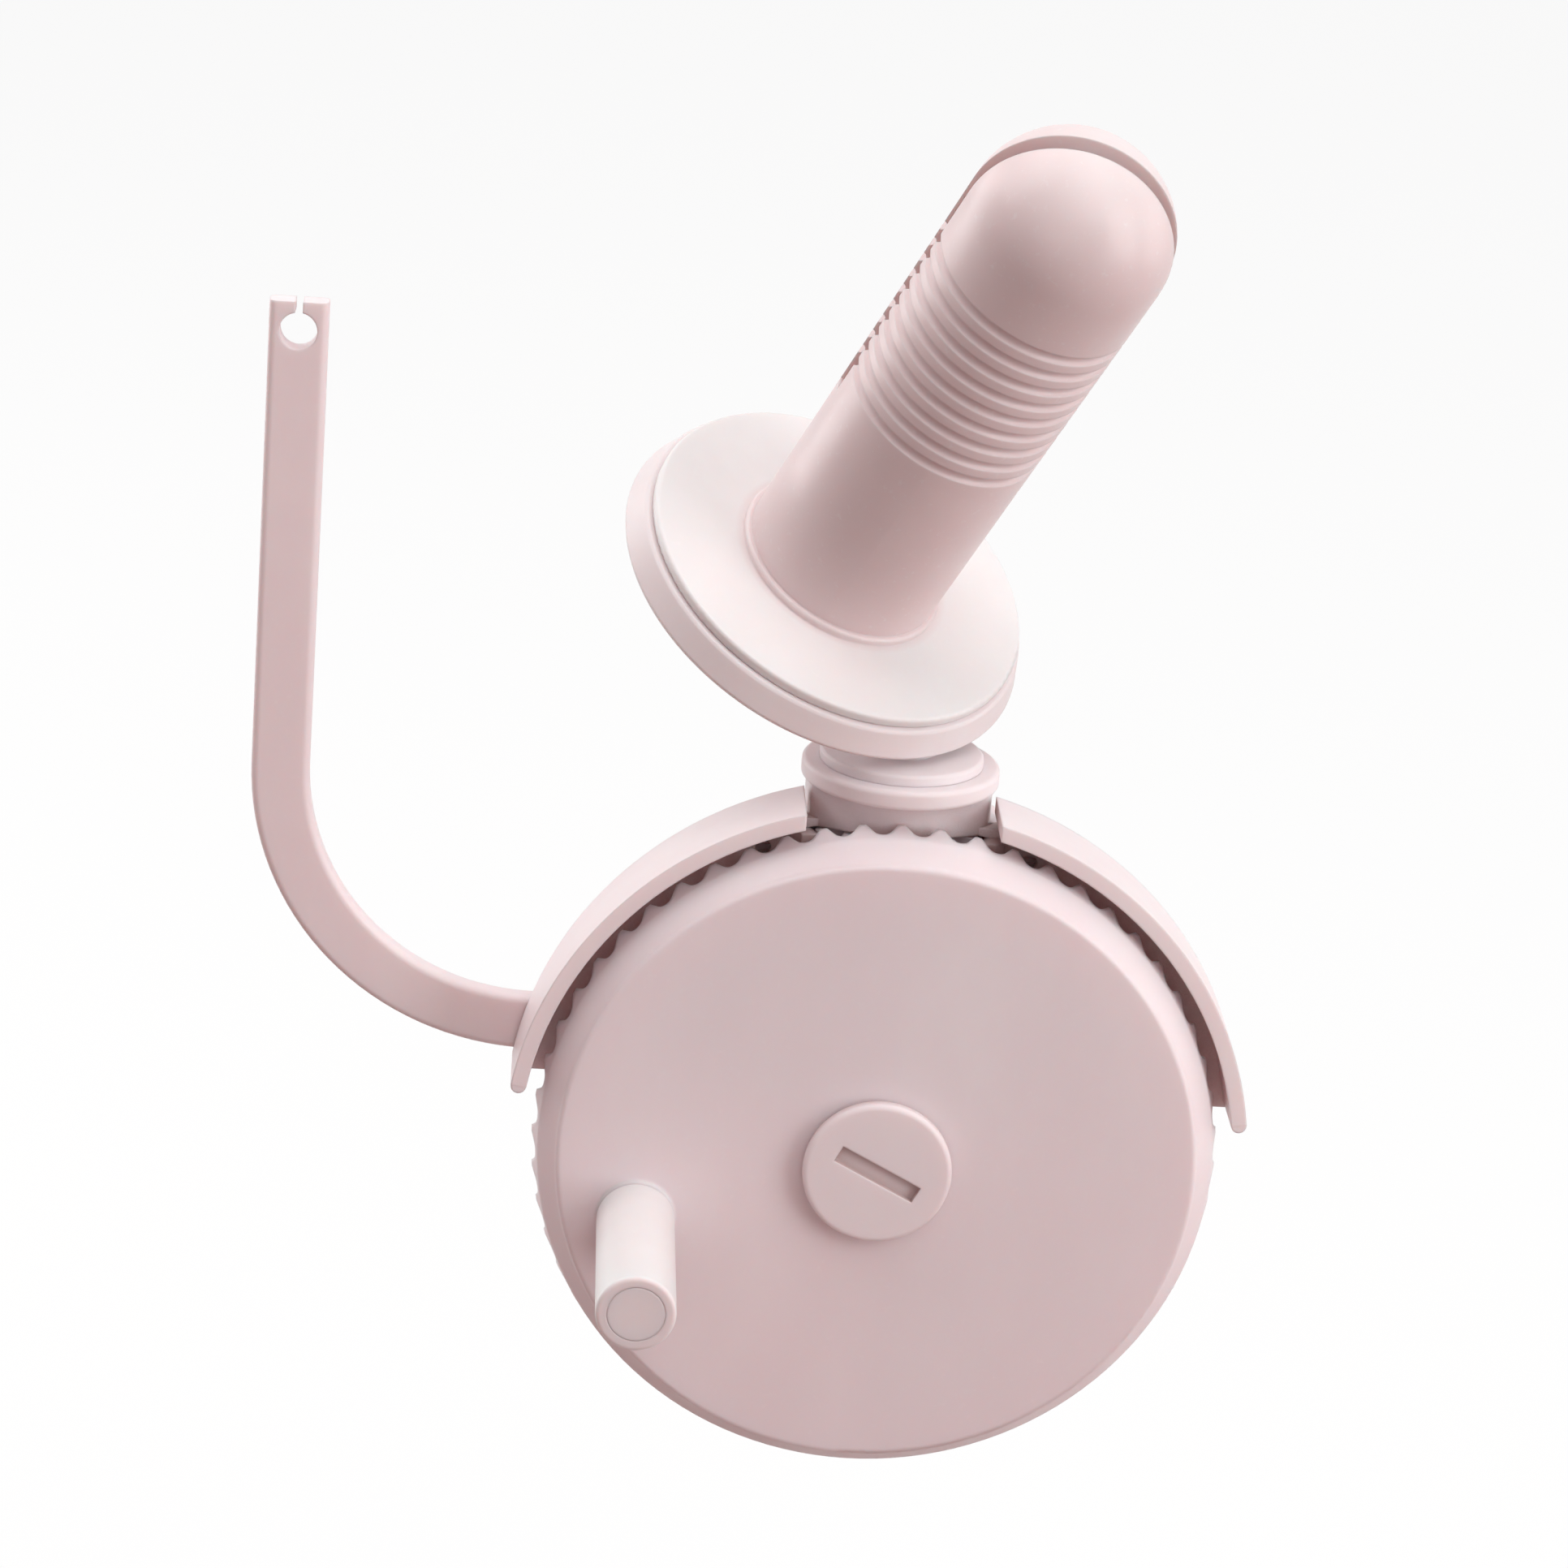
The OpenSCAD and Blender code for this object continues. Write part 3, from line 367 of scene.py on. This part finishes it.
def clamp_thread(pitch=0.002, depth=0.0011, around=48, rows_per_turn=14):
    """A right-hand thread from the tip up to the shoulder, and a plain pin above that turns in the pad."""
    play_under_pad = 0.00035
    tip_chamfer = 0.0006
    shoulder_chamfer = 0.0005
    shoulder_edge = 0.00001
    pin_step = 0.002
    pin_chamfer = 0.0003
    run_in = 0.001
    run_out = 0.0015
    crest = 0.2
    flank = 0.6
    low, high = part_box("clamp_screw")
    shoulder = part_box("pressure_pad")[0].z - play_under_pad
    x0 = (low.x + high.x) / 2
    y0 = (low.y + high.y) / 2
    full = (high.x - low.x) / 2
    rows = int((shoulder - low.z) / pitch * rows_per_turn)
    bm = bmesh.new()

    def ring(z, radius):
        angles = [2 * math.pi * k / around for k in range(around)]
        return [bm.verts.new((x0 + radius(a) * math.cos(a), y0 + radius(a) * math.sin(a), z)) for a in angles]

    def threaded(z):
        fade = min(1.0, (z - low.z) / run_in, (shoulder - z) / run_out)

        def radius(a):
            share = (z / pitch - a / (2 * math.pi)) % 1.0
            cut = min(1.0, max(0.0, (abs(2 * share - 1) - crest) / flank))
            return full - depth * max(0.0, fade) * cut
        return radius

    rings = [ring(low.z, lambda a: full - tip_chamfer)]
    for k in range(1, rows):
        z = low.z + (shoulder - low.z) * k / rows
        rings.append(ring(z, threaded(z)))
    rings.append(ring(shoulder - shoulder_edge, lambda a: full - shoulder_chamfer))
    rings.append(ring(shoulder, lambda a: full - pin_step))
    rings.append(ring(high.z - pin_chamfer, lambda a: full - pin_step))
    rings.append(ring(high.z, lambda a: full - pin_step - pin_chamfer))
    for a, b in zip(rings, rings[1:]):
        for k in range(around):
            n = (k + 1) % around
            bm.faces.new((a[k], a[n], b[n], b[k]))
    bm.faces.new(list(reversed(rings[0])))
    bm.faces.new(rings[-1])
    mesh = bpy.data.meshes.new("clamp_screw_thread")
    bm.to_mesh(mesh)
    bm.free()
    mesh.materials.append(steel)
    obj = bpy.data.objects.new("clamp_screw_thread", mesh)
    scene.collection.objects.link(obj)
    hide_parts("clamp_screw")
    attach(obj, "turnscrew")


clamp_thread()


# camera, from the photograph's viewing angle

def camera():
    turn = math.radians(-3.28)
    rise = math.radians(19.31)
    roll = math.radians(4.48)
    place = Vector((-0.061343, -0.773202, 0.322571))
    back = Vector((math.sin(turn) * math.cos(rise), -math.cos(turn) * math.cos(rise), math.sin(rise)))
    right = Vector((math.cos(turn), math.sin(turn), 0.0))
    up = back.cross(right)
    x = math.cos(roll) * right + math.sin(roll) * up
    y = math.cos(roll) * up - math.sin(roll) * right
    data = bpy.data.cameras.new("photo_camera")
    data.sensor_width = 36.0
    data.lens = 110.87
    data.clip_start = 0.05
    data.clip_end = 50.0
    obj = bpy.data.objects.new("photo_camera", data)
    m = Matrix((x, y, back)).transposed().to_4x4()
    m.translation = place
    obj.matrix_world = m
    scene.collection.objects.link(obj)
    scene.camera = obj


camera()


# stage, light and background

centre = (cad_low + cad_high) / 2
lamp_white = (1.0, 0.99, 0.985)
lamp_warm = (1.0, 0.90, 0.90)


def lamp(name, direction, distance, size, power, colour=lamp_white):
    """A soft box that stands in a direction from the part's centre and faces it."""
    data = bpy.data.lights.new(name, "AREA")
    data.shape = "RECTANGLE"
    data.size, data.size_y = size
    data.energy = power
    data.color = colour
    obj = bpy.data.objects.new(name, data)
    d = Vector(direction).normalized()
    obj.location = centre + d * distance
    obj.rotation_mode = "QUATERNION"
    obj.rotation_quaternion = d.to_track_quat("Z", "Y")
    obj.visible_camera = False
    scene.collection.objects.link(obj)


lamp("key_box", (0.33, -0.50, 0.80), distance=1.3, size=(1.1, 1.1), power=5.5)
lamp("top_box", (0.05, 0.15, 0.98), distance=1.3, size=(1.1, 1.1), power=5.7)
lamp("left_back_box", (-0.80, 0.58, 0.10), distance=1.2, size=(0.7, 1.2), power=6.4)
lamp("left_box", (-0.60, 0.10, 0.79), distance=1.3, size=(1.0, 1.0), power=6.8)
lamp("right_front_box", (0.80, -0.54, 0.24), distance=1.2, size=(0.6, 1.0), power=6.6)
lamp("right_box", (0.97, 0.10, 0.00), distance=1.2, size=(0.6, 1.0), power=3.4)
lamp("front_box", (-0.20, -0.97, 0.15), distance=1.4, size=(1.0, 0.8), power=1.3, colour=lamp_warm)


def seen_rays(nt, path):
    """1 for rays of the camera, of gloss and through glass, else 0."""
    last = path.outputs["Is Camera Ray"]
    for kind in ("Is Glossy Ray", "Is Transmission Ray"):
        m = nt.nodes.new("ShaderNodeMath")
        m.operation = "MAXIMUM"
        nt.links.new(last, m.inputs[0])
        nt.links.new(path.outputs[kind], m.inputs[1])
        last = m.outputs[0]
    return last


def world():
    """White where it is seen, and a weak warm fill for the light on the part."""
    w = bpy.data.worlds.new("studio")
    w.use_nodes = True
    nt = w.node_tree
    nt.nodes.clear()
    out = nt.nodes.new("ShaderNodeOutputWorld")
    fill = nt.nodes.new("ShaderNodeBackground")
    fill.inputs["Color"].default_value = (1.0, 0.87, 0.86, 1.0)
    fill.inputs["Strength"].default_value = 0.24
    white = nt.nodes.new("ShaderNodeBackground")
    white.inputs["Color"].default_value = (1.0, 1.0, 1.0, 1.0)
    white.inputs["Strength"].default_value = 1.0
    path = nt.nodes.new("ShaderNodeLightPath")
    seen = seen_rays(nt, path)
    mix = nt.nodes.new("ShaderNodeMixShader")
    nt.links.new(seen, mix.inputs[0])
    nt.links.new(fill.outputs[0], mix.inputs[1])
    nt.links.new(white.outputs[0], mix.inputs[2])
    nt.links.new(mix.outputs[0], out.inputs["Surface"])
    scene.world = w


world()


def floor():
    """Pale paper below the part: nearly white where it is seen, and a warm bounce for other rays."""
    bounce = (0.27, 0.15, 0.135, 1.0)
    paper_dark = (0.90, 0.90, 0.90, 1.0)
    paper_light = (0.93, 0.93, 0.93, 1.0)
    glow_share = 0.92
    half_width = 6.0
    drop = 0.10
    t = Tree("floor_paper")
    path = t.node("ShaderNodeLightPath")
    seen = seen_rays(t.nt, path)
    d = t.node("ShaderNodeBsdfDiffuse")
    paper = t.ramp(t.noise(scale=3.0, detail=2.0), [(0.3, paper_dark), (0.7, paper_light)])
    t.link(t.mix(bounce, paper, seen), d.inputs["Color"])
    glow = t.node("ShaderNodeEmission")
    glow.inputs["Color"].default_value = (1.0, 1.0, 1.0, 1.0)
    mix = t.node("ShaderNodeMixShader")
    t.link(t.share(seen, glow_share), mix.inputs[0])
    t.link(d.outputs[0], mix.inputs[1])
    t.link(glow.outputs[0], mix.inputs[2])
    t.link(mix.outputs[0], t.out.inputs["Surface"])
    bm = bmesh.new()
    bmesh.ops.create_grid(bm, x_segments=4, y_segments=4, size=half_width)
    mesh = bpy.data.meshes.new("floor")
    bm.to_mesh(mesh)
    bm.free()
    mesh.materials.append(t.mat)
    obj = bpy.data.objects.new("floor", mesh)
    obj.location.z = cad_low.z - drop
    scene.collection.objects.link(obj)


floor()
